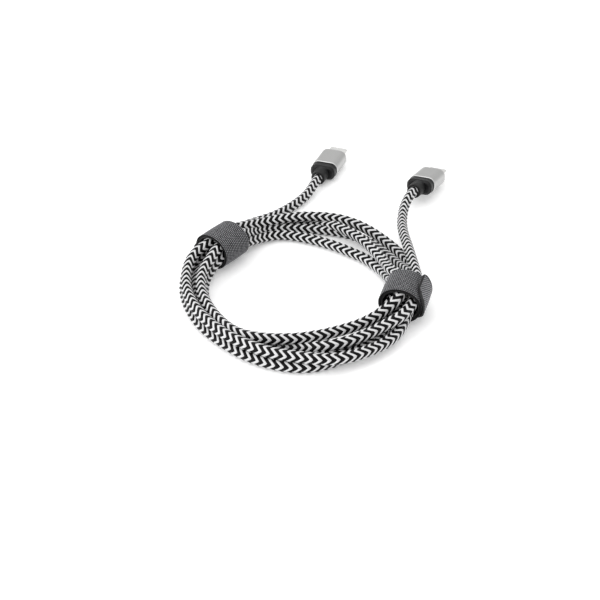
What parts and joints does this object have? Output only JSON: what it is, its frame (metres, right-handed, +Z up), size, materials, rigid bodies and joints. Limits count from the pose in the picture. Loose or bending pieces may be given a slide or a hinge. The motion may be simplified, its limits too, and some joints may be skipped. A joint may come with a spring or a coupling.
{
  "type": "usb-c charging cable",
  "caption": "Braided USB-C to USB-C cable wound into a flat coil, held by two hook-and-loop ties, with an aluminium plug on each end.",
  "frame": {"origin": "centre of the whole cable's footprint, on the surface it lies on", "axes": "+Z up; +Y along the footprint's long side, towards plug A; +X towards plug B's side"},
  "size_m": [0.1075, 0.1584, 0.0138],
  "materials": {
    "anodised_aluminium": "satin anodised",
    "black_plastic": "semi-matte moulded",
    "black_elastomer": "semi-matte moulded",
    "cable_jacket": "matte",
    "bright_steel": "bright nickel plated",
    "wire_insulation": "plain",
    "inner_plastic": "plain moulded",
    "circuit_board": "solder resist",
    "chip_resin": "plain",
    "black_insulator": "plain moulded",
    "gold_plate": "gold plated",
    "nylon_braid": "black and white zigzag braid",
    "loop_fabric": "fine woven loop",
    "hook_tape": "fine hooks"
  },
  "bodies": {
    "cable": {"plug_a_housing": "anodised_aluminium", "plug_a_collar": "black_plastic", "plug_a_neck": "black_elastomer", "plug_a_cable_core": "cable_jacket", "plug_a_crimp_ring": "bright_steel", "plug_a_wires": "wire_insulation", "plug_a_inner_mould": "inner_plastic", "plug_a_circuit_board": "circuit_board", "plug_a_marker_chip": "chip_resin", "plug_a_nose": "black_plastic", "plug_a_shell": "bright_steel", "plug_a_upper_carrier": "black_insulator", "plug_a_lower_carrier": "black_insulator", "plug_a_upper_contacts": "gold_plate", "plug_a_lower_contacts": "gold_plate", "plug_a_mid_plate": "bright_steel", "plug_b_housing": "anodised_aluminium", "plug_b_collar": "black_plastic", "plug_b_neck": "black_elastomer", "plug_b_cable_core": "cable_jacket", "plug_b_crimp_ring": "bright_steel", "plug_b_wires": "wire_insulation", "plug_b_inner_mould": "inner_plastic", "plug_b_circuit_board": "circuit_board", "plug_b_marker_chip": "chip_resin", "plug_b_nose": "black_plastic", "plug_b_shell": "bright_steel", "plug_b_upper_carrier": "black_insulator", "plug_b_lower_carrier": "black_insulator", "plug_b_upper_contacts": "gold_plate", "plug_b_lower_contacts": "gold_plate", "plug_b_mid_plate": "bright_steel", "left_tie_loop_layer": "loop_fabric", "left_tie_hook_layer": "hook_tape", "left_tie_seam": "hook_tape", "right_tie_loop_layer": "loop_fabric", "right_tie_hook_layer": "hook_tape", "right_tie_seam": "hook_tape", "cord_coil": "nylon_braid", "loose_end_a": "nylon_braid", "loose_end_b": "nylon_braid"},
    "left_tail": {"left_tie_tail": "loop_fabric"},
    "right_tail": {"right_tie_tail": "loop_fabric"},
    "plug_a_left_spring": {"plug_a_left_latch": "bright_steel"},
    "plug_a_right_spring": {"plug_a_right_latch": "bright_steel"},
    "plug_b_left_spring": {"plug_b_left_latch": "bright_steel"},
    "plug_b_right_spring": {"plug_b_right_latch": "bright_steel"}
  },
  "joints": [
    {"name": "left_tail_peel", "type": "hinge", "parent": "cable", "child": "left_tail", "pos_m": [-0.04393, -0.0023, 0.00715], "axis": [0.599, 0.8007, 0], "range_deg": [0, 80]},
    {"name": "right_tail_peel", "type": "hinge", "parent": "cable", "child": "right_tail", "pos_m": [0.03407, -0.04292, 0.00399], "axis": [0.3007, 0.9537, 0], "range_deg": [0, 80]},
    {"name": "plug_a_right_spring_flex", "type": "hinge", "parent": "cable", "child": "plug_a_right_spring", "pos_m": [0.0094, 0.07057, 0.00348], "axis": [0, 0, -1], "range_deg": [0, 2.2], "stiffness_Nm_per_rad": 0.002},
    {"name": "plug_a_left_spring_flex", "type": "hinge", "parent": "cable", "child": "plug_a_left_spring", "pos_m": [0.00306, 0.07289, 0.00348], "axis": [0, 0, 1], "range_deg": [0, 2.2], "stiffness_Nm_per_rad": 0.002},
    {"name": "plug_b_right_spring_flex", "type": "hinge", "parent": "cable", "child": "plug_b_right_spring", "pos_m": [0.05022, 0.05189, 0.00411], "axis": [-0.0053, -0.1438, -0.9896], "range_deg": [0, 2.2], "stiffness_Nm_per_rad": 0.002},
    {"name": "plug_b_left_spring_flex", "type": "hinge", "parent": "cable", "child": "plug_b_left_spring", "pos_m": [0.0442, 0.05493, 0.0037], "axis": [0.0053, 0.1438, 0.9896], "range_deg": [0, 2.2], "stiffness_Nm_per_rad": 0.002}
  ]
}
